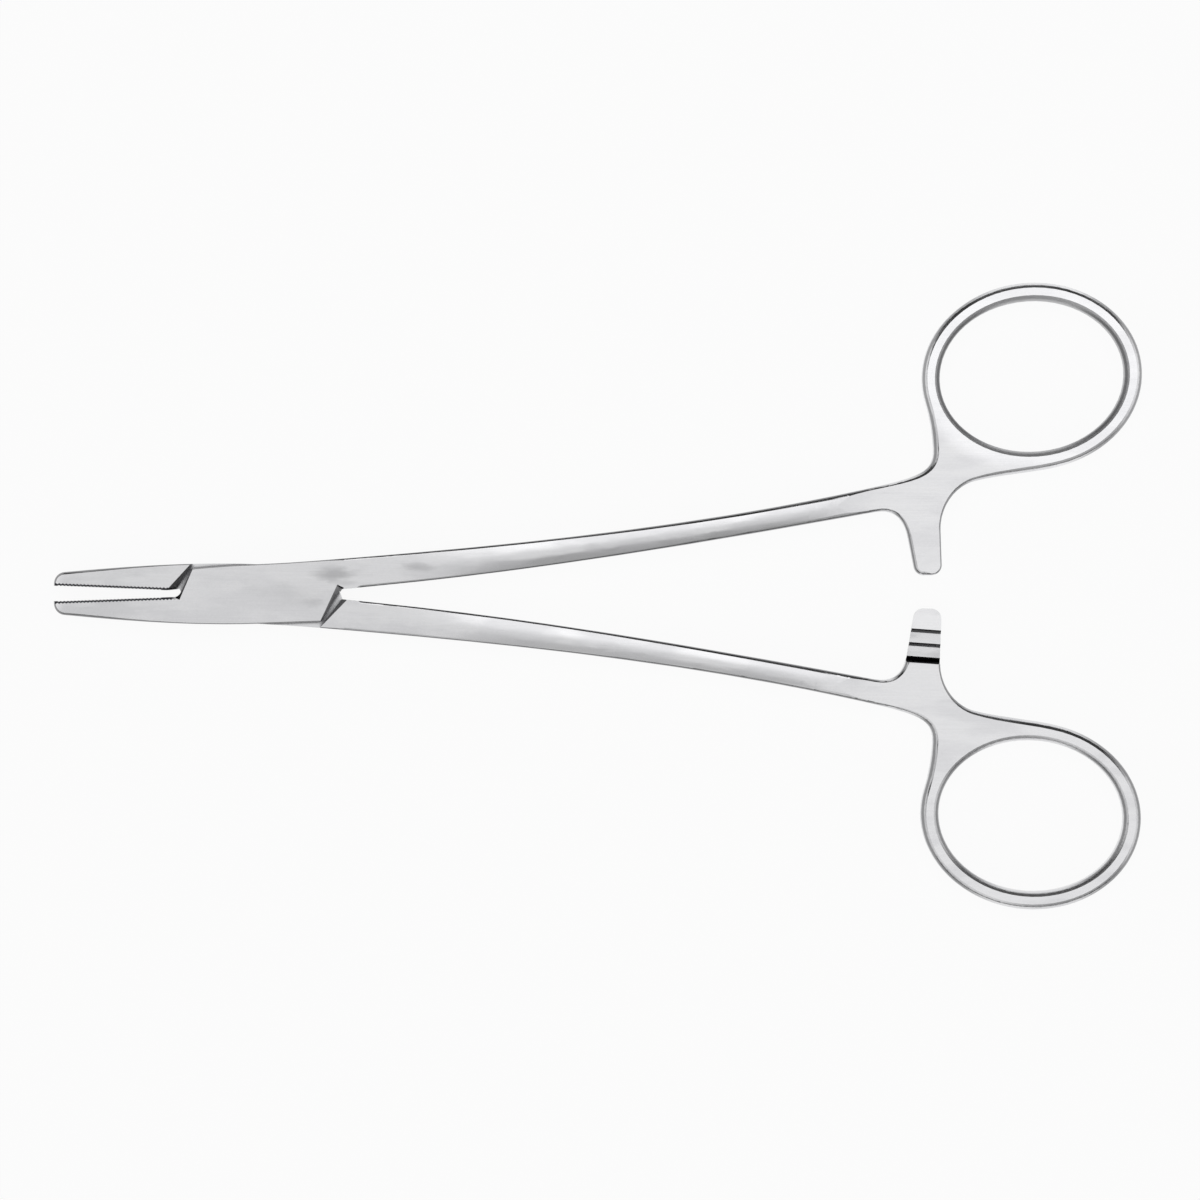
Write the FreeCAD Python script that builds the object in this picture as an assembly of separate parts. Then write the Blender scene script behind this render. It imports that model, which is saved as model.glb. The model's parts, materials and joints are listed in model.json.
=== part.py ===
"""A plain steel needle holder with a box lock, finger rings and a ratchet, lying flat and a little open.

Each half is drawn with the instrument closed, in the plane of the instrument, with its shank above the
middle line and its jaw below it. The half with the tongue is then turned over the middle line, and both are
turned about the pivot to the opening at rest. The origin is on the pivot's axis, at the underside of the
box. +X runs to the finger rings and +Z up out of the surface that the instrument lies on.
"""
import FreeCAD
import Part

import math
import os

Vector = FreeCAD.Vector

# Opening, as the whole angle between the two halves
REST_OPENING = 4.3
FULL_OPENING = 40.0

# Reach of the jaws and the lock along the instrument from the pivot's axis
JAW_REACH = 28.2
HEEL_REACH = 10.8
CROTCH_REACH = 11.5

# Jaws
FACE_GAP = 0.03
NOSE_WIDTH = 1.97
NOSE_RADIUS = 1.6
JAW_TAPER = 7.4
JAW_TIP_THICKNESS = 2.2
JAW_TOP_TAPER = 4.2
JAW_EDGE_OVERRUN = 5.0
BOX_HEEL_RADIUS = 1.1
TONGUE_HEEL_RADIUS = 0.2
TONGUE_HEEL_RELIEF = 0.25
HEEL_RELIEF_LENGTH = 1.6
SERRATION_PITCH = 0.5
SERRATION_DEPTH = 0.14
SERRATION_LAND = 0.01

# Box lock
BOX_THICKNESS = 4.6
BOX_HALF_WIDTH = 4.1
BOX_FLAT_REACH = 8.5
FRONT_SHOULDER_ANGLE = 60.7
REAR_SHOULDER_ANGLE = 55.4
FRONT_SHOULDER_DISTANCE = 9.5
REAR_SHOULDER_DISTANCE = 9.3
SHOULDER_GAP = 0.4
SIDE_DROP = 0.5
TONGUE_THICKNESS = 1.9
TONGUE_SIDE_PLAY = 0.05
TONGUE_STOP_PLAY = 0.1
PIN_RADIUS = 1.25
PIN_PLAY = 0.04

# Facets ground on the shoulders, as their width at the middle of the instrument
BOX_FRONT_FACET = 0.35
BOX_REAR_FACET = 0.7
TONGUE_FRONT_FACET = 1.0
TONGUE_REAR_FACET = 0.6
FACET_OVERRUN = 0.3

# Shanks, with a crowned upper and lower side between the box and the handle
CROTCH_GAP = 0.5
SHANK_ROOT_WIDTH = 4.2
SHANK_ROOT_HEADING = 3.4
SHANK_OUTER_HEADING = 2.6
SHANK_END_WIDTH = 3.44
SHANK_END_HEADING = 8.2
SHANK_THICKNESS = 3.7
SHANK_TAPER_REACH = 22.0
SHANK_CROWN_RADIUS = 4.5
SHANK_ROOT_CROWN_SHARE = 0.25
SHANK_ROOT_HOLD_SHARE = 0.33
SHANK_CROWN_SHARES = (0.4, 0.65, 0.85, 0.95)
SHANK_CROWN_END_SHARE = 0.985
SHANK_CROWN_WIDTH_SHARE = 0.75
HANDLE_THICKNESS = 3.0
HANDLE_FLAT_LEAD = 1.0

# Finger rings
RING_REACH = 107.66
RING_RISE = 26.28
RING_TILT = 2.5
RING_HOLE_LONG = 25.45
RING_HOLE_WIDE = 20.8
RING_BAND = 2.5

# Web between the shank, the ring and the ratchet arm: places from the ring's left and lower sides, headings,
# and how far its curves hold them
SHANK_END_PLACE = (-7.0, -1.61)
WEB_BACK_PLACE = (1.3, 3.4)
WEB_FRONT_PLACE = (6.8, -1.28)
WEB_BACK_HEADING = 10.6
WEB_FRONT_HEADING = 13.0
WEB_BACK_PULLS = (2.9, 6.8)
WEB_FRONT_PULLS = (3.0, 3.0)
RING_LEAVES_WEB = -77.0
RING_JOINS_WEB = 191.0

# The forging stands this far behind the box's rear shoulder, with these corners, before the shoulder is cut
ROUGH_SHOULDER = 2.0
ROUGH_RADIUS = 1.0

# Ratchet arms
ARM_RIGHT_PLACE = (1.87, -7.88)
ARM_WIDTH = 3.7
ARM_ROOT_WIDTH = 4.5
ARM_ROOT_DROP = 3.9
ARM_CORNER_RADIUS = 1.4
ARM_CROTCH_PULLS = (2.4, 3.2)
BOX_ARM_PAST = 0.65
TONGUE_ARM_PAST = 1.71
TOOTH_COUNT = 3
TOOTH_PITCH = 1.9
TOOTH_BITE = 0.45
TOOTH_LEAD = 0.54
TOOTH_WALL = 0.5
RAMP_LENGTH = 0.9
RATCHET_OVERRUN = 1.5

# Rounding of the long edges, before the flats are ground
JAW_EDGE_RADIUS = 0.6
BOX_EDGE_RADIUS = 0.3
SHANK_EDGE_RADIUS = 0.6
WEB_EDGE_RADIUS = 0.8
ARM_LEFT_EDGE_RADIUS = 0.8
ARM_RIGHT_EDGE_RADIUS = 0.45
RING_EDGE_RADIUS = 1.05
GRIND_DEPTH = 0.05
RING_EDGE_LEAD = 8.0
RING_EDGE_RISE = 3.0

# The most that an edge or a corner is rounded, as a share of the width that it stands on
CORNER_SHARE = 0.45
RING_EDGE_SHARE = 0.42
NOSE_SHARE = 0.9

# A length that is larger than anything it cuts
BEYOND = 60.0

RING_LEFT = RING_REACH - RING_HOLE_LONG / 2 - RING_BAND
RING_BOTTOM = RING_RISE - RING_HOLE_WIDE / 2 - RING_BAND
FACE = -FACE_GAP / 2


def toward(degrees, length=1.0):
    """The vector of a length in a direction, in the plane of the instrument."""
    angle = math.radians(degrees)
    return Vector(length * math.cos(angle), length * math.sin(angle), 0)


def heading(start, end):
    """The direction from one point to another, in degrees."""
    return math.degrees(math.atan2(end.y - start.y, end.x - start.x))


def flow(start, start_heading, end, end_heading, start_pull=None, end_pull=None):
    """A smooth edge that leaves one point and reaches another at given headings."""
    third = (end - start).Length / 3
    first = start + toward(start_heading, start_pull or third)
    second = end - toward(end_heading, end_pull or third)
    curve = Part.BezierCurve()
    curve.setPoles([start, first, second, end])
    return curve.toShape()


def line(start, end):
    """A straight edge."""
    return Part.makeLine(start, end)


def turned_over(point):
    """A point moved to the other side of the middle line."""
    return Vector(point.x, -point.y, point.z)


def turned_under(point):
    """A point moved to the other side of the plane halfway up the instrument."""
    return Vector(point.x, point.y, -point.z)


def corner(point, heading_in, heading_out, radius):
    """The arc that rounds a corner between two straight edges, with its two ends."""
    turn = math.radians(heading_out - heading_in)
    setback = radius * abs(math.tan(turn / 2))
    start = point - toward(heading_in, setback)
    end = point + toward(heading_out, setback)
    side = math.copysign(90, turn)
    centre = start + toward(heading_in + side, radius)
    middle = centre + (point - centre).normalize() * radius
    return start, Part.Arc(start, middle, end).toShape(), end


def on_line(normal, distance, y):
    """The point at a height y on the line that lies square to a direction, at a distance from the pivot."""
    n = toward(normal)
    return Vector((distance - n.y * y) / n.x, y, 0)


def by_ring(place):
    """The point at a place given from the finger ring's left and lower sides."""
    return Vector(RING_LEFT + place[0], RING_BOTTOM + place[1], 0)


def shoulder_lines():
    """The front and rear ends of the box's walls, each as its outward direction and distance."""
    front = (90 + FRONT_SHOULDER_ANGLE, FRONT_SHOULDER_DISTANCE)
    rear = (REAR_SHOULDER_ANGLE - 90, REAR_SHOULDER_DISTANCE)
    return front, rear


def stop_line(point, play):
    """A line through a point, so turned that two such lines meet when the halves are fully open."""
    half_opening = FULL_OPENING / 2
    normal = heading(Vector(), point) - half_opening
    return normal, point.Length * math.cos(math.radians(half_opening)) - play


def window_ends():
    """The two end walls of the box's window, which stop the tongue when fully open."""
    heel = Vector(-HEEL_REACH, 0, 0)
    crotch = Vector(CROTCH_REACH, CROTCH_GAP / 2, 0)
    return stop_line(heel, 0), stop_line(crotch, 0)


def tongue_ends():
    """The front and rear ends of the tongue, drawn as its half is drawn, with the shank above."""
    heel = Vector(-HEEL_REACH, 0, 0)
    crotch = Vector(CROTCH_REACH, -CROTCH_GAP / 2, 0)
    return stop_line(heel, TONGUE_STOP_PLAY), stop_line(crotch, TONGUE_STOP_PLAY)


def nose_edges():
    """The blunt nose of the closed jaws, with the two outer sides that run from it to the box."""
    radius = min(NOSE_RADIUS, NOSE_SHARE * NOSE_WIDTH)
    lower = Vector(-JAW_REACH, radius * math.cos(math.radians(JAW_TAPER)) - NOSE_WIDTH, 0)
    centre = lower + Vector(radius, 0, 0)
    leave = centre + toward(-90 - JAW_TAPER, radius)
    arc = Part.Arc(lower, centre + toward(-135, radius), leave).toShape()
    side = flow(leave, -JAW_TAPER, Vector(0, -BOX_HALF_WIDTH, 0), 0)
    below = [arc, side]
    above = [edge.mirror(Vector(), Vector(0, 1, 0)) for edge in below]
    return above + [line(turned_over(lower), lower)] + below


def arm_edges(inner_end, past):
    """The ratchet arm, from the end of the shank's inner side, round the arm's tip, to its root by the ring."""
    right_top = by_ring(ARM_RIGHT_PLACE)
    left_top = Vector(right_top.x - ARM_ROOT_WIDTH, inner_end.y - ARM_ROOT_DROP, 0)
    left_tip = Vector(right_top.x - ARM_WIDTH, -past, 0)
    right_tip = Vector(right_top.x, -past, 0)
    down = heading(left_top, left_tip)
    radius = min(ARM_CORNER_RADIUS, CORNER_SHARE * ARM_WIDTH)
    left_start, left_arc, left_end = corner(left_tip, down, 0, radius)
    right_start, right_arc, right_end = corner(right_tip, 0, 90, radius)
    crotch = flow(inner_end, SHANK_END_HEADING, left_top, down, *ARM_CROTCH_PULLS)
    sides = [line(left_top, left_start), left_arc, line(left_end, right_start), right_arc]
    return [crotch] + sides + [line(right_end, right_top)], right_top


def ring_ellipse(margin):
    """The finger ring's hole, widened all round by a margin, as a curve."""
    centre = Vector(RING_REACH, RING_RISE, 0)
    ellipse = Part.Ellipse(centre, RING_HOLE_LONG / 2 + margin, RING_HOLE_WIDE / 2 + margin)
    ellipse.AngleXU = math.radians(RING_TILT)
    return ellipse


def ring_edges(arm_root):
    """The web under the ring, the ring's outer side, and the web's outer side down to the shank's end."""
    outer = ring_ellipse(RING_BAND)
    leave, join = math.radians(RING_LEAVES_WEB), math.radians(RING_JOINS_WEB)
    leave_heading, join_heading = [heading(Vector(), outer.tangent(angle)[0]) for angle in (leave, join)]
    front = by_ring(WEB_FRONT_PLACE)
    back = by_ring(WEB_BACK_PLACE)
    edges = [flow(arm_root, 90, front, WEB_FRONT_HEADING, *WEB_FRONT_PULLS)]
    edges.append(flow(front, WEB_FRONT_HEADING, outer.value(leave), leave_heading))
    edges.append(Part.ArcOfEllipse(outer, leave, join).toShape())
    edges.append(flow(outer.value(join), join_heading, back, -90))
    edges.append(flow(back, -90, by_ring(SHANK_END_PLACE), 180 + WEB_BACK_HEADING, *WEB_BACK_PULLS))
    return edges


def inner_side(normal, distance):
    """The point where a line across the instrument meets the straight start of the shank's inner side."""
    start = on_line(*shoulder_lines()[1], CROTCH_GAP / 2)
    way = toward(SHANK_ROOT_HEADING)
    across = toward(normal)
    return start + way * ((distance - start.dot(across)) / way.dot(across))


def rough_shoulder():
    """The end of the forging behind the box's rear shoulder, before the shoulder is cut."""
    return REAR_SHOULDER_ANGLE - 90, REAR_SHOULDER_DISTANCE + ROUGH_SHOULDER


def root_edges():
    """The lower side of the box, the rough shoulder behind it and the start of the shank's inner side."""
    foot = on_line(*rough_shoulder(), -BOX_HALF_WIDTH)
    crotch = inner_side(*rough_shoulder())
    foot_start, foot_arc, foot_end = corner(foot, 0, REAR_SHOULDER_ANGLE, ROUGH_RADIUS)
    turn_start, turn_arc, turn_end = corner(crotch, REAR_SHOULDER_ANGLE, SHANK_ROOT_HEADING, ROUGH_RADIUS)
    straight_end = crotch + toward(SHANK_ROOT_HEADING, 2 * ROUGH_RADIUS)
    edges = [line(Vector(0, -BOX_HALF_WIDTH, 0), foot_start), foot_arc, line(foot_end, turn_start)]
    return edges + [turn_arc, line(turn_end, straight_end)], straight_end


def outline(past):
    """The smooth outline of one forging, with the jaws still whole, as edges that run round it to the left."""
    outer_end = by_ring(SHANK_END_PLACE)
    inner_end = outer_end - Vector(0, SHANK_END_WIDTH, 0)
    outer_root = Vector(CROTCH_REACH, CROTCH_GAP / 2 + SHANK_ROOT_WIDTH, 0)
    root, straight_end = root_edges()
    arm, arm_root = arm_edges(inner_end, past)
    edges = nose_edges() + root
    edges.append(flow(straight_end, SHANK_ROOT_HEADING, inner_end, SHANK_END_HEADING))
    edges += arm + ring_edges(arm_root)
    edges.append(flow(outer_end, 180 + WEB_BACK_HEADING, outer_root, 180 + SHANK_OUTER_HEADING))
    edges.append(flow(outer_root, 180 + SHANK_OUTER_HEADING, Vector(0, BOX_HALF_WIDTH, 0), 180))
    return edges


def forging(past):
    """One forging with its long edges rounded and its flats ground, before the lock and the jaws are cut."""
    sides = outline(past)
    hole = ring_ellipse(0).toShape()
    plan = Part.Face(Part.Wire(sides)).cut(Part.Face(Part.Wire([hole]))).Faces[0]
    plan.translate(Vector(0, 0, -BOX_THICKNESS))
    slab = plan.extrude(Vector(0, 0, 2 * BOX_THICKNESS))
    jaws, *rest = [slab.common(space) for space in (jaw_profile(), shank_profile(), handle_profile())]
    return rounded(jaws.fuse(rest).Solids[0], sides, hole).common(ground_profile()).Solids[0]


def handle_start():
    """How far from the pivot the flat sides of the handle start, just before the shank's end."""
    return by_ring(SHANK_END_PLACE).x - HANDLE_FLAT_LEAD


def jaw_top(extra):
    """The upper side of the jaws and the box, seen from the side, raised by a depth that is ground off later."""
    tip = Vector(-JAW_REACH, JAW_TIP_THICKNESS / 2 + extra, 0)
    before = tip - toward(JAW_TOP_TAPER, JAW_EDGE_OVERRUN)
    front = Vector(-BOX_FLAT_REACH, BOX_THICKNESS / 2 + extra, 0)
    rear = Vector(BOX_FLAT_REACH, front.y, 0)
    return [line(before, tip), flow(tip, JAW_TOP_TAPER, front, 0), line(front, rear)], before, rear


def handle_top(extra):
    """The upper side of the handle, seen from the side, raised by a depth that is ground off later."""
    start = Vector(handle_start(), HANDLE_THICKNESS / 2 + extra, 0)
    end = Vector(RING_REACH + RING_HOLE_LONG, start.y, 0)
    return [line(start, end)], start, end


def side_space(top, start, end):
    """The space between an upper side, seen from the side, and its mirror image below, very wide across."""
    bottom = [edge.mirror(Vector(), Vector(0, 1, 0)) for edge in top]
    ends = [line(turned_over(point), point) for point in (start, end)]
    face = Part.Face(Part.Wire(Part.__sortEdges__(top + bottom + ends)))
    face.rotate(Vector(), Vector(1, 0, 0), 90)
    face.translate(Vector(0, BEYOND, 0))
    return face.extrude(Vector(0, -2 * BEYOND, 0))


def jaw_profile():
    """The thickness of the jaws and the box before grinding."""
    return side_space(*jaw_top(GRIND_DEPTH))


def handle_profile():
    """The thickness of the handle before grinding."""
    return side_space(*handle_top(GRIND_DEPTH))


def ground_profile():
    """The thickness that grinding leaves: flat jaws, box and handle, which run out on the crowned shanks."""
    jaws, start, rear = jaw_top(0)
    handle, handle_point, end = handle_top(0)
    run = SHANK_TAPER_REACH - BOX_FLAT_REACH
    over_root = rear + Vector(run, 0, 0)
    over_end = handle_point + Vector(-run, 2 * GRIND_DEPTH, 0)
    over = [line(rear, over_root), line(over_root, over_end), line(over_end, handle_point)]
    return side_space(jaws + over + handle, start, end)


def shank_middle(reach):
    """The height of the shank's middle line at a reach from the pivot."""
    root = Vector(CROTCH_REACH, (CROTCH_GAP + SHANK_ROOT_WIDTH) / 2, 0)
    end = by_ring(SHANK_END_PLACE) - Vector(0, SHANK_END_WIDTH / 2, 0)
    start_heading = (SHANK_ROOT_HEADING + SHANK_OUTER_HEADING) / 2
    end_heading = (SHANK_END_HEADING + WEB_BACK_HEADING) / 2
    if not root.x < reach < end.x:
        return root.y if reach <= root.x else end.y
    curve = flow(root, start_heading, end, end_heading)
    cut = line(Vector(reach, -BEYOND, 0), Vector(reach, BEYOND, 0))
    return curve.distToShape(cut)[1][0][0].y


def shank_stations():
    """Rows of the shank's upper side: share of the way to the handle, height at the middle, crown's curvature."""
    box, shank, handle = BOX_THICKNESS / 2, SHANK_THICKNESS / 2, HANDLE_THICKNESS / 2
    crown = 1 / SHANK_CROWN_RADIUS
    taper = (SHANK_TAPER_REACH - BOX_FLAT_REACH) / (handle_start() - BOX_FLAT_REACH)
    full = [(share, shank + (handle - shank) * share, crown) for share in SHANK_CROWN_SHARES]
    first = [(share, box + GRIND_DEPTH, 0) for share in (0, taper * SHANK_ROOT_HOLD_SHARE)]
    taper_end = (taper, shank, crown * SHANK_ROOT_CROWN_SHARE)
    last = [(share, handle + GRIND_DEPTH, 0) for share in (SHANK_CROWN_END_SHARE, 1)]
    return first + [taper_end] + full + last


def crowned_face(level):
    """The crowned upper (1) or lower (-1) side of the shank, as one smooth face that is wider than the shank."""
    degree = 3
    poles = []
    for share, height, curvature in shank_stations():
        reach = BOX_FLAT_REACH + (handle_start() - BOX_FLAT_REACH) * share
        half = 2 * BOX_HALF_WIDTH if not curvature else SHANK_CROWN_WIDTH_SHARE * SHANK_ROOT_WIDTH
        drop = curvature * half * half / 2
        middle = shank_middle(reach)
        row = ((-half, height - drop), (0, height + drop), (half, height - drop))
        poles.append([Vector(reach, middle + aside, level * up) for aside, up in row])
    spans = len(poles) - degree
    knots = [span / spans for span in range(spans + 1)]
    mults = [degree + 1] + [1] * (spans - 1) + [degree + 1]
    surface = Part.BSplineSurface()
    surface.buildFromPolesMultsKnots(poles, mults, [3, 3], knots, [0, 1], False, False, degree, 2)
    return surface.toShape()


def shank_profile():
    """The space between the shank's crowned sides."""
    upper, lower = crowned_face(1), crowned_face(-1)
    faces = [upper, lower]
    for above in upper.Edges:
        middle = turned_under(above.CenterOfMass)
        below = min(lower.Edges, key=lambda edge: (edge.CenterOfMass - middle).Length)
        faces.append(Part.makeRuledSurface(above, below))
    shell = Part.Shell(faces)
    shell.sewShape()
    solid = Part.Solid(shell)
    if solid.Volume < 0:
        solid.reverse()
    return solid


def edge_radius(point):
    """How far the long edges are rounded at a point of the outline."""
    if point.x > RING_LEFT + RING_EDGE_LEAD or point.y > RING_BOTTOM + RING_EDGE_RISE:
        return min(RING_EDGE_RADIUS, RING_EDGE_SHARE * RING_BAND)
    if point.x > by_ring(SHANK_END_PLACE).x:
        arm_right = by_ring(ARM_RIGHT_PLACE)
        if point.y > arm_right.y:
            return WEB_EDGE_RADIUS
        return ARM_RIGHT_EDGE_RADIUS if point.x > arm_right.x - ARM_WIDTH / 2 else ARM_LEFT_EDGE_RADIUS
    if point.x > SHANK_TAPER_REACH:
        return SHANK_EDGE_RADIUS
    if point.x > -HEEL_REACH:
        return BOX_EDGE_RADIUS
    return JAW_EDGE_RADIUS


def rounding(blank, sides, level):
    """The edges of a blank over its sides, above (1) or below (-1), each with its radius at its two ends."""
    found = []
    for number, edge in enumerate(blank.Edges, 1):
        first, last = edge.FirstParameter, edge.LastParameter
        ends = [edge.valueAt(first), edge.valueAt(last)]
        middle = edge.valueAt((first + last) / 2)
        flat = Vector(middle.x, middle.y, 0)
        over_side = min(side.distToShape(Part.Vertex(flat))[0] for side in sides) < 0.001
        if over_side and min(end.z * level for end in ends) > 0:
            tangent = edge.tangentAt((first + last) / 2)
            right = flat + Vector(tangent.y, -tangent.x, 0).normalize() * 0.1
            goes_left = not blank.isInside(right, 0.001, False)
            found.append((goes_left, number, [edge_radius(end) for end in ends]))
    found.sort(key=lambda item: not item[0])
    first_way = found[0][0]
    return [(number, *(radii if way == first_way else radii[::-1])) for way, number, radii in found]


def rounded(blank, sides, hole):
    """A blank with its top and bottom edges rounded over its sides and round its hole."""
    chosen = []
    for level in (1, -1):
        chosen += rounding(blank, sides, level) + rounding(blank, [hole], level)
    document = FreeCAD.newDocument("rounding")
    base = document.addObject("Part::Feature", "base")
    base.Shape = blank
    feature = document.addObject("Part::Fillet", "feature")
    feature.Base = base
    feature.Edges = chosen
    document.recompute()
    result = feature.Shape.copy()
    FreeCAD.closeDocument(document.Name)
    return result


def upright(edges, low, high):
    """A solid with vertical sides over a closed run of edges, between two heights."""
    face = Part.Face(Part.Wire(edges))
    face.translate(Vector(0, 0, low))
    return face.extrude(Vector(0, 0, high - low))


def polygon(points):
    """The closed run of straight edges through some points."""
    return [line(a, b) for a, b in zip(points, points[1:] + points[:1])]


def jaw_space(front, heel_radius, relief):
    """The space over the biting face and in front of the lock, as deep as the whole instrument."""
    far = 2 * BOX_HALF_WIDTH
    down = front[0] + 90
    heel = on_line(*front, FACE - relief)
    heel_start, heel_arc, heel_end = corner(heel, down, 180, heel_radius)
    top = on_line(*front, far)
    points = [heel_end]
    if relief:
        points.append(Vector(heel_end.x - HEEL_RELIEF_LENGTH, FACE, 0))
    points += [Vector(-BEYOND, FACE, 0), Vector(-BEYOND, far, 0), top, heel_start]
    edges = [line(a, b) for a, b in zip(points, points[1:])] + [heel_arc]
    return upright(edges, -BOX_THICKNESS, BOX_THICKNESS)


def shank_space(rear):
    """The space behind the lock and below the shank, as deep as the whole instrument."""
    far = -2 * BOX_HALF_WIDTH
    end = inner_side(*rough_shoulder()) + toward(SHANK_ROOT_HEADING, 1.5 * ROUGH_RADIUS)
    points = [inner_side(*rear), on_line(*rear, far), Vector(end.x, far, 0), end]
    return upright(polygon(points), -BOX_THICKNESS, BOX_THICKNESS)


def window():
    """The window through the box from side to side, between its two walls, open to the jaws and the shanks."""
    front, rear = window_ends()
    far = 2 * BOX_HALF_WIDTH
    ahead = -HEEL_REACH - 2 * BOX_HEEL_RADIUS
    points = [on_line(*front, -far), on_line(*front, FACE), Vector(ahead, FACE, 0), Vector(ahead, far, 0)]
    points += [on_line(*rear, far), on_line(*rear, CROTCH_GAP / 2), Vector(CROTCH_REACH, -far, 0)]
    half = TONGUE_THICKNESS / 2 + TONGUE_SIDE_PLAY
    return upright(polygon(points), -half, half)


def tongue_shoulders():
    """The full-thickness shoulders at the two ends of the tongue, as their outward directions and distances."""
    (front, front_distance), (rear, rear_distance) = shoulder_lines()
    return (-front, front_distance + SHOULDER_GAP), (-rear, rear_distance + SHOULDER_GAP)


def tongue_reliefs():
    """What is milled away above and below the tongue."""
    front, rear = tongue_shoulders()
    far = 2 * BOX_HALF_WIDTH
    points = [on_line(*front, -far), on_line(*rear, -far), on_line(*rear, far), on_line(*front, far)]
    above = upright(polygon(points), TONGUE_THICKNESS / 2, BOX_THICKNESS)
    return above, above.mirror(Vector(), Vector(0, 0, 1))


def facets(shoulder, outer_y, inner_y, width, side):
    """The cuts, above and below, that grind a facet on a shoulder, from nothing outside to its width inside."""
    normal = toward(shoulder[0], side)
    outer = on_line(*shoulder, outer_y)
    inner = on_line(*shoulder, inner_y) - normal * width
    along = (inner - outer).normalize()
    across = Vector(-along.y, along.x, 0)
    if across.dot(normal) < 0:
        across = -across
    reach = width + FACET_OVERRUN
    surface = Vector(0, 0, BOX_THICKNESS / 2)
    start = outer + surface - along * FACET_OVERRUN
    up = Vector(0, 0, 1)
    points = [start + (across - up) * reach, start + across * reach + up, start - across + up]
    wedge = Part.Face(Part.Wire(polygon(points))).extrude(along * ((inner - outer).Length + 2 * FACET_OVERRUN))
    return wedge, wedge.mirror(Vector(), up)


def serrations():
    """The fine ridges across the biting face, cut as one comb of grooves."""
    first = -JAW_REACH + SERRATION_PITCH
    last = -HEEL_REACH - 2 * BOX_HEEL_RADIUS
    count = int((last - first) / SERRATION_PITCH)
    points = []
    for groove in range(count):
        x = first + groove * SERRATION_PITCH
        points.append(Vector(x, FACE + SERRATION_LAND, 0))
        points.append(Vector(x + SERRATION_PITCH / 2, FACE - SERRATION_DEPTH, 0))
    points.append(Vector(first + count * SERRATION_PITCH, FACE + SERRATION_LAND, 0))
    points.append(points[-1] + Vector(0, 1, 0))
    points.append(Vector(first, FACE + 1, 0))
    return upright(polygon(points), -BOX_THICKNESS, BOX_THICKNESS)


def ratchet_cut(past):
    """What is cut from below a ratchet arm: its lower half, with the teeth, and the ramp at its root."""
    bite = TOOTH_BITE / 2
    tooth_end = BOX_ARM_PAST + TONGUE_ARM_PAST + TOOTH_LEAD
    under = -HANDLE_THICKNESS
    points = [(-1, under), (-1, bite), (0, bite)]
    for tooth in range(TOOTH_COUNT):
        end = tooth_end + tooth * TOOTH_PITCH
        points += [(end, -bite), (end + TOOTH_WALL, bite)]
    ramp_end = end + RAMP_LENGTH
    points += [(ramp_end, -HANDLE_THICKNESS / 2 - GRIND_DEPTH), (ramp_end, under)]
    right = by_ring(ARM_RIGHT_PLACE).x
    left = right - ARM_ROOT_WIDTH - RATCHET_OVERRUN
    middle = Vector(right - ARM_WIDTH / 2, tooth_end + TOOTH_PITCH - past, 0)
    wire = polygon([Vector(left, place - past, height) for place, height in points])
    tool = Part.Face(Part.Wire(wire)).extrude(Vector(right + RATCHET_OVERRUN - left, 0, 0))
    tool.rotate(middle, Vector(0, 0, 1), heading(Vector(), middle))
    return tool


def pin_bore(radius):
    """An upright cylinder on the pivot's axis, as tall as the box."""
    return Part.makeCylinder(radius, BOX_THICKNESS, Vector(0, 0, -BOX_THICKNESS / 2))


def box_half():
    """The forging with the lower jaw, the box and the upper shank, ring and ratchet arm."""
    front, rear = shoulder_lines()
    body = forging(BOX_ARM_PAST)
    cuts = [jaw_space(front, BOX_HEEL_RADIUS, 0), shank_space(rear), window(), pin_bore(PIN_RADIUS)]
    cuts += facets(front, BOX_HALF_WIDTH, 0, BOX_FRONT_FACET, 1)
    cuts += facets(rear, -BOX_HALF_WIDTH, CROTCH_GAP / 2, BOX_REAR_FACET, 1)
    cuts += [ratchet_cut(BOX_ARM_PAST), serrations()]
    for cut in cuts:
        body = body.cut(cut)
    return body


def tongue_half():
    """The forging with the upper jaw, the tongue and the lower shank, ring and ratchet arm."""
    front, rear = tongue_ends()
    front_shoulder, rear_shoulder = tongue_shoulders()
    body = forging(TONGUE_ARM_PAST)
    cuts = [jaw_space(front, TONGUE_HEEL_RADIUS, TONGUE_HEEL_RELIEF), shank_space(rear), *tongue_reliefs()]
    cuts.append(pin_bore(PIN_RADIUS + PIN_PLAY))
    cuts += facets(front_shoulder, -BOX_HALF_WIDTH, FACE, TONGUE_FRONT_FACET, -1)
    cuts += facets(rear_shoulder, BOX_HALF_WIDTH, CROTCH_GAP / 2, TONGUE_REAR_FACET, -1)
    cuts += [ratchet_cut(TONGUE_ARM_PAST).mirror(Vector(), Vector(0, 0, 1)), serrations()]
    for cut in cuts:
        body = body.cut(cut)
    return body.mirror(Vector(), Vector(0, 1, 0))


def placed(shape, turn):
    """A piece turned about the pivot and lifted so that the underside of the box is at zero."""
    shape.rotate(Vector(), Vector(0, 0, 1), turn)
    shape.translate(Vector(0, 0, BOX_THICKNESS / 2))
    return shape


def main():
    """Write each piece to its own file."""
    os.makedirs("parts", exist_ok=True)
    pieces = {
        "box_half": placed(box_half(), REST_OPENING / 2),
        "tongue_half": placed(tongue_half(), -REST_OPENING / 2),
        "pivot_pin": placed(pin_bore(PIN_RADIUS), REST_OPENING / 2),
    }
    for name, shape in pieces.items():
        shape.Solids[0].exportStep("parts/" + name + ".step")
        print(name, len(shape.Solids), shape.isValid(), round(shape.Volume, 2))


main()
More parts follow.
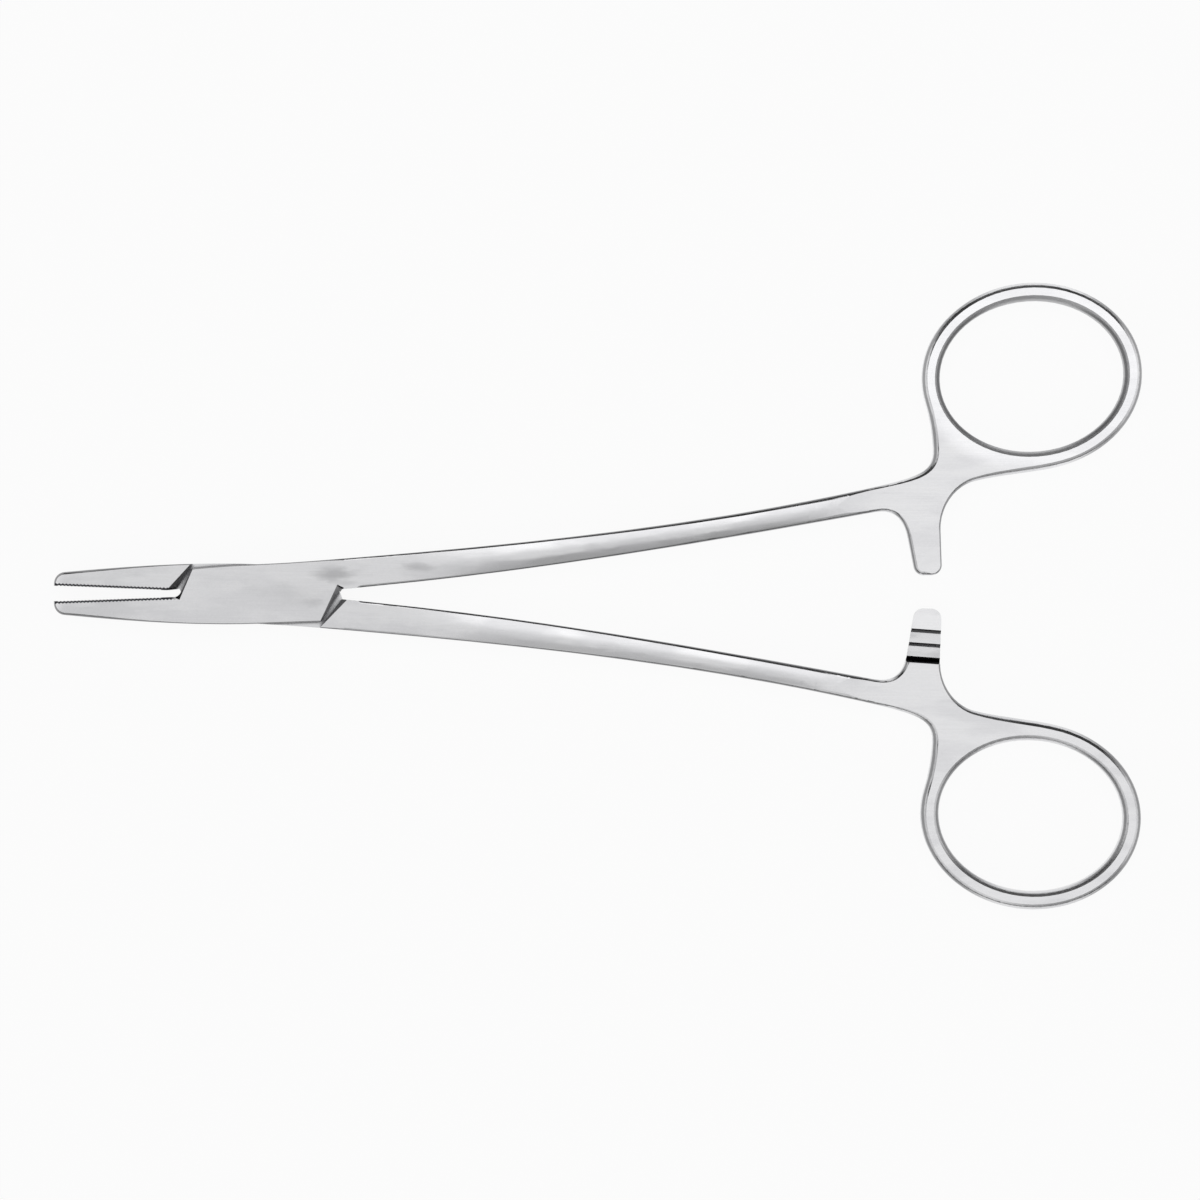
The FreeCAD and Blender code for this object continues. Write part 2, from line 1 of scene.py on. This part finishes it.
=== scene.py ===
"""The looks of a plain steel needle holder: brushed steel, a pale floor and soft studio light.

Lengths are in metres in the part's own frame. The origin lies on the pivot's axis at the underside of
the box. +X runs to the finger rings, and +Z up out of the floor. The camera looks straight down from above.
"""
import json
import math
from collections import namedtuple

import bpy
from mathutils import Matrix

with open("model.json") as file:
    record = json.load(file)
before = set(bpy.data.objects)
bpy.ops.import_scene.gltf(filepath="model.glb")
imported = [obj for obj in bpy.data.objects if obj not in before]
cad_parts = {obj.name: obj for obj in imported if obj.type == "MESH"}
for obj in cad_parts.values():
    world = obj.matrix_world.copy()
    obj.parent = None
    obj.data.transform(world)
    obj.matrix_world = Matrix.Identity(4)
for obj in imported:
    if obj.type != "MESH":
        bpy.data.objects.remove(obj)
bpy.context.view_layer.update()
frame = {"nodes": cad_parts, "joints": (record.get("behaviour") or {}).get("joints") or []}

MM = 0.001

# The photograph's frame, as the pivot's place in it and the real size of one of its pixels
FRAME_PIXELS = 1200
PIVOT_PIXEL = (258.5, 594.0)
PIXEL_SIZE = 0.138 * MM
CAMERA_ROLL = math.radians(0.15)
CAMERA_DISTANCE = 0.7
SENSOR_WIDTH = 36.0
NEAREST, FARTHEST = 0.01, 100.0

# Floor, and how far open the instrument lies on it, in degrees
FLOOR_RADIUS = 6.0
FLOOR_CORNERS = 96
FLOOR_COLOUR = 0.9
FLOOR_GLOW = 0.93
REST_OPENING = 4.3

# Light round the object: edges are angles from overhead or parts of the direction, and level 1 is white
OVERHEAD_LEAN = 12.0
OVERHEAD_EDGE = (36.0, 20.0)
OVERHEAD_LEVEL = 1.0
NORTH_EDGE = (0.0, 0.35)
NORTH_LEVEL = 1.55
SOUTH_EDGE = (0.1, -0.3)
SOUTH_RISE = (0.15, 0.4)
SOUTH_EAST_LEVEL, SOUTH_WEST_LEVEL = 0.42, 0.8
WEST_EDGE = (0.14, -0.14)
GAP_LEVEL = 0.04
SIDE_EDGE = (0.7, 0.85)
SIDE_LEVEL = 0.85
HORIZON_EDGE = (0.12, 0.0)
HORIZON_LEVEL = 0.95

# Steel: how pale and how rough it is, and its duller patches
STEEL_COLOUR = (0.64, 0.64, 0.65)
PATCH_COLOUR = (0.605, 0.605, 0.618)
STEEL_ROUGHNESS, PATCH_ROUGHNESS = 0.17, 0.27
PATCH_EDGES = (0.4, 0.62)

# Textures of the steel: the size of their blotches along each axis, their detail and their pattern's shift
BRUSHING = ((9.0 * MM, 0.16 * MM, 0.16 * MM), 4.0, 0.0)
GRAIN = ((0.35 * MM, 0.35 * MM, 0.35 * MM), 2.0, 3.0)
PATCHES = ((9.0 * MM, 3.0 * MM, 9.0 * MM), 3.0, 5.0)
SMUDGE_AND_SHADE_BLUR = ((3.0 * MM, 1.0 * MM, 3.0 * MM), 3.0, 7.0)
BRUSHING_CONTRAST = 0.05
GRAIN_CONTRAST = 0.035
GRAIN_RELIEF = 0.5
RELIEF_DEPTH = 0.0012 * MM

# Painted shade in the corners, by how closed in they are
CORNER_SHADE_COLOUR = (0.03, 0.03, 0.034)
CORNER_SHADE_REACH = 0.7 * MM
CORNER_SHADE_EDGES = (0.82, 0.45)
CORNER_SHADE_SAMPLES = 8

# Darker patches on the ground flats, partly smudges and partly painted shade and dark reflections, as places,
# half lengths across and strengths, in millimetres
SMUDGES_AND_SHADE = (
    ((10.5, 2.8), (4.5, 1.5), 0.32),
    ((12.0, 1.6), (3.0, 0.6), 0.14),
    ((21.7, 3.7), (3.6, 1.1), 0.22),
    ((8.0, -1.0), (2.5, 1.3), 0.12),
    ((5.0, 0.0), (9.0, 3.0), 0.08),
)
SMUDGE_AND_SHADE_RAGGEDNESS = 0.9
SMUDGE_AND_SHADE_EDGES = (1.3, 0.5)

# Painted shade: dark lines painted along the rounded edges in place of dark reflections, by the upward part
# of the surface's direction: past the shanks they stay only where the surface leans along the instrument
EDGE_LINE_OUTSIDE, EDGE_LINE_INSIDE = (0.88, 0.74), (0.25, 0.5)
EDGE_LINE_END = (88.0 * MM, 84.0 * MM)
EDGE_LINE_LENGTHWISE = (0.2, 0.5)
EDGE_LINE_STRENGTH = 0.6

# Painted shade: a dark line painted along the two biting faces where the serrations lie, fainter on the faces
# themselves
FACE_LINE = 0.36 * MM
FACE_LINE_EDGES = (1.0, 0.85)
FACE_REACH = (-28.0 * MM, -10.9 * MM)
FACE_FADE = 1.0 * MM
FACE_UPWARD = (0.2, 0.7)
FACE_STRENGTH = 0.5
SERRATION_PITCH = 0.5 * MM
SERRATION_SHARE = 0.2

# Painted highlight on the polished noses of the jaws, which are painted paler than plain steel
NOSE_EDGES = (-26.6 * MM, -28.4 * MM)
NOSE_HIGHLIGHT_GAIN = 1.25

# Handles: where they get paler, and where the lower arm's ramps and the steep walls of its teeth are
HANDLE_EDGES = (62.0 * MM, 92.0 * MM)
RAMP_EDGES = (-9.5 * MM, -9.0 * MM)
RAMP_REACH = 84.0 * MM
TOOTH_STEEPNESS = (0.4, 0.7)
TOOTH_UPWARD = (0.1, 0.3)

# Finger rings: the middle and half axes of an opening in millimetres, and the edges of the rim and of the
# opening's wall, as distances where 1 lies on the opening
RING_MIDDLE = (106.6, 30.3)
RING_HALF_AXES = (12.1, 9.8)
RIM_EDGES = (1.42, 1.2)
WALL_EDGES = (1.35, 1.2)
WALL_FACING = (0.15, 0.45)

# What differs between the halves: the side that the jaw is on, where 1 is up, how much paler or darker than
# plain steel the handle, the rim, the opening's wall, the ramps and the teeth are, and how rough the wall is.
# A paler rim is a painted highlight, and a darker wall or darker teeth are painted shade
Half = namedtuple("Half", "jaw_side handle rim wall ramp tooth wall_roughness")
HALVES = {
    "box_half": Half(-1, handle=1.17, rim=1.2, wall=0.62, ramp=1.0, tooth=1.0, wall_roughness=0.5),
    "tongue_half": Half(1, handle=1.15, rim=1.02, wall=1.0, ramp=0.74, tooth=0.3, wall_roughness=0.3),
    "pivot_pin": None,
}

# A spot of the surface in a material: where it is and which way it faces, both also as their parts
Surface = namedtuple("Surface", "tree place parts normal facing")


def node(tree, kind, inputs=None, **settings):
    """A shader node with its settings, and its inputs set or linked by name or number."""
    made = tree.nodes.new(kind)
    for name, value in settings.items():
        setattr(made, name, value)
    for key, value in (inputs or {}).items():
        if isinstance(value, bpy.types.NodeSocket):
            tree.links.new(value, made.inputs[key])
        else:
            made.inputs[key].default_value = value
    return made


def math_node(tree, operation, *values):
    """The result of a Math node on sockets or numbers."""
    return node(tree, "ShaderNodeMath", dict(enumerate(values)), operation=operation).outputs[0]


def vector_node(tree, operation, *values):
    """The vector that a Vector Math node makes of sockets or vectors."""
    return node(tree, "ShaderNodeVectorMath", dict(enumerate(values)), operation=operation).outputs["Vector"]


def vector_number(tree, operation, *values):
    """The number that a Vector Math node makes of sockets or vectors."""
    return node(tree, "ShaderNodeVectorMath", dict(enumerate(values)), operation=operation).outputs["Value"]


def product(tree, first, *others):
    """The product of several sockets."""
    for other in others:
        first = math_node(tree, "MULTIPLY", first, other)
    return first


def smooth(tree, value, low, high):
    """A smooth step from 0 at the first value to 1 at the second."""
    inputs = {"Value": value, "From Min": low, "From Max": high}
    return node(tree, "ShaderNodeMapRange", inputs, interpolation_type="SMOOTHSTEP").outputs["Result"]


def blend_levels(tree, share, first, second):
    """A level between two, by a share from 0 to 1."""
    return math_node(tree, "MULTIPLY_ADD", share, second - first, first)


def varied(tree, texture, contrast):
    """A level round 1 that follows a texture."""
    return blend_levels(tree, texture, 1 - contrast, 1 + contrast)


def size_of(tree, value):
    """The size of a value without its sign."""
    return math_node(tree, "ABSOLUTE", value)


def noise(tree, place, size, detail, shift):
    """Soft noise from 0 to 1, with its blotches of a size along each axis."""
    scale = tuple(1 / length for length in size)
    moves = {"Vector": place, "Scale": scale, "Location": (shift, shift, shift)}
    moved = node(tree, "ShaderNodeMapping", moves)
    inputs = {"Vector": moved.outputs[0], "Scale": 1.0, "Detail": detail}
    return node(tree, "ShaderNodeTexNoise", inputs).outputs["Fac"]


def mix_colours(tree, share, first, second):
    """A colour between two, given as sockets or as red, green and blue."""
    made = node(tree, "ShaderNodeMix", {0: share}, data_type="RGBA")
    for socket, colour in ((made.inputs[6], first), (made.inputs[7], second)):
        if isinstance(colour, bpy.types.NodeSocket):
            tree.links.new(colour, socket)
        else:
            socket.default_value = (*colour, 1.0)
    return made.outputs[2]


def scaled(tree, colour, factor):
    """A colour made lighter or darker by a factor."""
    return node(tree, "ShaderNodeVectorMath", {0: colour, "Scale": factor}, operation="SCALE").outputs[0]


def empty_material(name):
    """A material with nodes and nothing in it but its output."""
    material = bpy.data.materials.new(name)
    material.use_nodes = True
    material.node_tree.nodes.clear()
    output = material.node_tree.nodes.new("ShaderNodeOutputMaterial")
    return material, material.node_tree, output


def surface_of(tree):
    """Where a spot of the surface is and which way it faces, along the object's own axes."""
    spot = node(tree, "ShaderNodeTexCoord").outputs
    parts = node(tree, "ShaderNodeSeparateXYZ", {0: spot["Object"]}).outputs
    facing = node(tree, "ShaderNodeSeparateXYZ", {0: spot["Normal"]}).outputs
    return Surface(tree, spot["Object"], parts, spot["Normal"], facing)


def ellipse_distance(surface, middle, half_axes):
    """The offset from an upright elliptic cylinder's axis, and the distance, where 1 is on the ellipse."""
    tree = surface.tree
    offset = vector_node(tree, "SUBTRACT", surface.place, (middle[0] * MM, middle[1] * MM, 0))
    shape = (1 / (half_axes[0] * MM), 1 / (half_axes[1] * MM), 0)
    return offset, vector_number(tree, "LENGTH", vector_node(tree, "MULTIPLY", offset, shape))


def smudge_and_shade_share(surface):
    """How dark the smudges and the painted shade on the flats are."""
    tree = surface.tree
    blur = noise(tree, surface.place, *SMUDGE_AND_SHADE_BLUR)
    total = 0.0
    for middle, half_axes, strength in SMUDGES_AND_SHADE:
        distance = ellipse_distance(surface, middle, half_axes)[1]
        ragged = math_node(tree, "MULTIPLY_ADD", blur, SMUDGE_AND_SHADE_RAGGEDNESS, distance)
        total = math_node(tree, "MULTIPLY_ADD", smooth(tree, ragged, *SMUDGE_AND_SHADE_EDGES), strength, total)
    return total


def edge_shade_share(surface):
    """How dark the painted shade along the rounded edges is."""
    tree = surface.tree
    upward = size_of(tree, surface.facing["Z"])
    lengthwise = smooth(tree, size_of(tree, surface.facing["X"]), *EDGE_LINE_LENGTHWISE)
    reach = math_node(tree, "MAXIMUM", smooth(tree, surface.parts["X"], *EDGE_LINE_END), lengthwise)
    band = product(tree, smooth(tree, upward, *EDGE_LINE_OUTSIDE), smooth(tree, upward, *EDGE_LINE_INSIDE))
    return product(tree, band, reach, EDGE_LINE_STRENGTH)


def face_shade_share(surface, side):
    """How dark the painted shade along a biting face's serrations is: side is 1 for the upper jaw, or -1."""
    tree, parts = surface.tree, surface.parts
    turn = side * math.radians(REST_OPENING / 2)
    across = math_node(tree, "ADD", product(tree, parts["Y"], math.cos(turn)),
                       product(tree, parts["X"], math.sin(turn)))
    ridges = math_node(tree, "SINE", product(tree, parts["X"], math.tau / SERRATION_PITCH))
    width = math_node(tree, "MULTIPLY_ADD", ridges, SERRATION_SHARE * FACE_LINE, FACE_LINE)
    depth = math_node(tree, "DIVIDE", product(tree, across, side), width)
    inner, outer = FACE_REACH[1], FACE_REACH[0]
    along = product(tree, smooth(tree, parts["X"], inner, inner - FACE_FADE),
                    math_node(tree, "GREATER_THAN", parts["X"], outer))
    upward = smooth(tree, size_of(tree, surface.facing["Z"]), *FACE_UPWARD)
    strength = blend_levels(tree, upward, FACE_STRENGTH, 1.0)
    return product(tree, strength, smooth(tree, depth, *FACE_LINE_EDGES), along)


def ring_shares(surface, side):
    """How much a spot is of a ring's rim and of its opening's wall: side is 1 for the upper ring, or -1."""
    tree = surface.tree
    middle = (RING_MIDDLE[0], side * RING_MIDDLE[1])
    offset, distance = ellipse_distance(surface, middle, RING_HALF_AXES)
    inward = vector_node(tree, "NORMALIZE", vector_node(tree, "MULTIPLY", offset, (-1, -1, 0)))
    facing = vector_number(tree, "DOT_PRODUCT", surface.normal, inward)
    wall = product(tree, smooth(tree, facing, *WALL_FACING), smooth(tree, distance, *WALL_EDGES))
    return smooth(tree, distance, *RIM_EDGES), wall


def arm_level(surface, half):
    """The tone of the ramps on a ratchet arm, and the painted shade on the steep walls of its teeth."""
    tree, parts, facing = surface.tree, surface.parts, surface.facing
    ramps = product(tree, smooth(tree, parts["Y"], *RAMP_EDGES),
                    math_node(tree, "GREATER_THAN", parts["X"], RAMP_REACH))
    steep = smooth(tree, size_of(tree, facing["Y"]), *TOOTH_STEEPNESS)
    upward = smooth(tree, size_of(tree, facing["Z"]), *TOOTH_UPWARD)
    teeth = product(tree, steep, upward, ramps)
    # Painted shade on the steep walls of the teeth
    dark = blend_levels(tree, teeth, 1.0, half.tooth)
    return product(tree, blend_levels(tree, ramps, 1.0, half.ramp), dark)


def half_level(surface, half, rim, wall):
    """The tone of one half's handle, nose, ring and arm, where 1 is plain steel, with painted highlights on
    the nose and rim and painted shade on the opening's wall and the teeth.
    """
    tree, parts = surface.tree, surface.parts
    handle = blend_levels(tree, smooth(tree, parts["X"], *HANDLE_EDGES), 1.0, half.handle)
    # Painted highlight: the noses of the jaws are painted paler
    nose = blend_levels(tree, smooth(tree, parts["X"], *NOSE_EDGES), 1.0, NOSE_HIGHLIGHT_GAIN)
    # Painted highlight on the ring's rim and painted shade on its opening's wall
    ring = product(tree, blend_levels(tree, rim, 1.0, half.rim), blend_levels(tree, wall, 1.0, half.wall))
    return product(tree, handle, nose, ring, arm_level(surface, half))


def steel(name, half):
    """Brushed stainless steel, with painted shade in its corners and, on a half, the tones and marks of its
    parts, some of them painted highlights and painted shade.
    """
    material, tree, output = empty_material(name + "_steel")
    surface = surface_of(tree)
    brushing = noise(tree, surface.place, *BRUSHING)
    grain = noise(tree, surface.place, *GRAIN)
    patches = smooth(tree, noise(tree, surface.place, *PATCHES), *PATCH_EDGES)
    texture = product(tree, varied(tree, brushing, BRUSHING_CONTRAST), varied(tree, grain, GRAIN_CONTRAST))
    # Darker patches on the flats: partly smudges, partly painted shade and dark reflections
    smudged_and_shaded = math_node(tree, "SUBTRACT", 1.0, smudge_and_shade_share(surface))
    # Painted shade along the rounded edges
    edge_shaded = math_node(tree, "SUBTRACT", 1.0, edge_shade_share(surface))
    level = product(tree, texture, smudged_and_shaded, edge_shaded)
    roughness = blend_levels(tree, patches, STEEL_ROUGHNESS, PATCH_ROUGHNESS)
    # Painted shade: the colour darkens towards near black where the surface is closed in
    corners = node(tree, "ShaderNodeAmbientOcclusion", {"Distance": CORNER_SHADE_REACH}, samples=CORNER_SHADE_SAMPLES)
    painted_shade = smooth(tree, corners.outputs["AO"], *CORNER_SHADE_EDGES)
    if half:
        rim, wall = ring_shares(surface, -half.jaw_side)
        level = product(tree, level, half_level(surface, half, rim, wall))
        roughness = math_node(tree, "MAXIMUM", roughness, product(tree, wall, half.wall_roughness))
        # Painted shade along the biting faces
        painted_shade = math_node(tree, "MAXIMUM", painted_shade, face_shade_share(surface, half.jaw_side))
    colour = scaled(tree, mix_colours(tree, patches, STEEL_COLOUR, PATCH_COLOUR), level)
    # The painted shade in the corners and along the biting faces darkens the colour
    colour = mix_colours(tree, painted_shade, colour, CORNER_SHADE_COLOUR)
    height = math_node(tree, "MULTIPLY_ADD", grain, GRAIN_RELIEF, brushing)
    bump = node(tree, "ShaderNodeBump", {"Height": height, "Strength": 1.0, "Distance": RELIEF_DEPTH})
    shader = node(tree, "ShaderNodeBsdfPrincipled", {
        "Base Color": colour, "Metallic": 1.0, "Roughness": roughness, "Normal": bump.outputs[0]})
    tree.links.new(shader.outputs[0], output.inputs["Surface"])
    return material


def floor_material():
    """A pale floor that reads white to the camera and in the steel, and still takes the object's shadow."""
    material, tree, output = empty_material("studio_floor")
    path = node(tree, "ShaderNodeLightPath").outputs
    seen = math_node(tree, "MAXIMUM", path["Is Camera Ray"], path["Is Glossy Ray"])
    seen = math_node(tree, "MAXIMUM", seen, path["Is Transmission Ray"])
    share = product(tree, seen, FLOOR_GLOW)
    plain = node(tree, "ShaderNodeBsdfDiffuse", {"Color": (FLOOR_COLOUR, FLOOR_COLOUR, FLOOR_COLOUR, 1.0)})
    glow = node(tree, "ShaderNodeEmission", {"Color": (1, 1, 1, 1), "Strength": 1.0})
    mixed = node(tree, "ShaderNodeMixShader", {0: share, 1: plain.outputs[0], 2: glow.outputs[0]})
    tree.links.new(mixed.outputs[0], output.inputs["Surface"])
    return material


def add_floor():
    """The studio floor, at the height that the object rests on."""
    bpy.ops.mesh.primitive_circle_add(vertices=FLOOR_CORNERS, radius=FLOOR_RADIUS, fill_type="NGON")
    floor = bpy.context.object
    floor.name = "studio_floor"
    floor.data.materials.append(floor_material())


def overhead_light(tree, direction, parts):
    """The bright round patch overhead, which leans north and is brightest there."""
    lean = math.radians(OVERHEAD_LEAN)
    centre = (0.0, math.sin(lean), math.cos(lean))
    edges = [math.cos(math.radians(angle)) for angle in OVERHEAD_EDGE]
    patch = smooth(tree, vector_number(tree, "DOT_PRODUCT", direction, centre), *edges)
    north = smooth(tree, parts["Y"], *NORTH_EDGE)
    return product(tree, patch, blend_levels(tree, north, OVERHEAD_LEVEL, NORTH_LEVEL))


def south_light(tree, parts):
    """The grey glow from the south, paler in the west, over the dark gap below the overhead light."""
    south = product(tree, smooth(tree, parts["Y"], *SOUTH_EDGE), smooth(tree, parts["Z"], *SOUTH_RISE))
    west = smooth(tree, parts["X"], *WEST_EDGE)
    above_gap = blend_levels(tree, west, SOUTH_EAST_LEVEL - GAP_LEVEL, SOUTH_WEST_LEVEL - GAP_LEVEL)
    return math_node(tree, "MULTIPLY_ADD", south, above_gap, GAP_LEVEL)


def add_world():
    """The studio round the object: bright overhead, a dark gap, pale sides and a pale horizon."""
    world = bpy.data.worlds.new("studio")
    bpy.context.scene.world = world
    world.use_nodes = True
    tree = world.node_tree
    tree.nodes.clear()
    direction = node(tree, "ShaderNodeTexCoord").outputs["Generated"]
    parts = node(tree, "ShaderNodeSeparateXYZ", {0: direction}).outputs
    sides = smooth(tree, size_of(tree, parts["X"]), *SIDE_EDGE)
    horizon = smooth(tree, parts["Z"], *HORIZON_EDGE)
    level = south_light(tree, parts)
    lights = (product(tree, sides, SIDE_LEVEL), product(tree, horizon, HORIZON_LEVEL),
              overhead_light(tree, direction, parts))
    for light in lights:
        level = math_node(tree, "MAXIMUM", level, light)
    background = node(tree, "ShaderNodeBackground", {"Color": (1, 1, 1, 1), "Strength": level})
    output = node(tree, "ShaderNodeOutputWorld")
    tree.links.new(background.outputs[0], output.inputs["Surface"])


def add_camera():
    """The camera straight above the object, framed as in the photograph."""
    half = FRAME_PIXELS / 2
    across = (half - PIVOT_PIXEL[0]) * PIXEL_SIZE
    up = (PIVOT_PIXEL[1] - half) * PIXEL_SIZE
    middle = frame["joints"][0]["pos_m"][2]
    data = bpy.data.cameras.new("camera")
    data.sensor_width = SENSOR_WIDTH
    data.lens = SENSOR_WIDTH * CAMERA_DISTANCE / (FRAME_PIXELS * PIXEL_SIZE)
    data.clip_start, data.clip_end = NEAREST, FARTHEST
    camera = bpy.data.objects.new("camera", data)
    bpy.context.scene.collection.objects.link(camera)
    x = across * math.cos(CAMERA_ROLL) - up * math.sin(CAMERA_ROLL)
    y = across * math.sin(CAMERA_ROLL) + up * math.cos(CAMERA_ROLL)
    camera.location = (x, y, middle + CAMERA_DISTANCE)
    camera.rotation_euler = (0, 0, CAMERA_ROLL)
    bpy.context.scene.camera = camera


def main():
    """Dress the pieces, then build the studio."""
    bpy.context.scene.view_settings.view_transform = "Standard"
    for name, half in HALVES.items():
        frame["nodes"][name].material_slots[0].material = steel(name, half)
    add_floor()
    add_world()
    add_camera()


main()
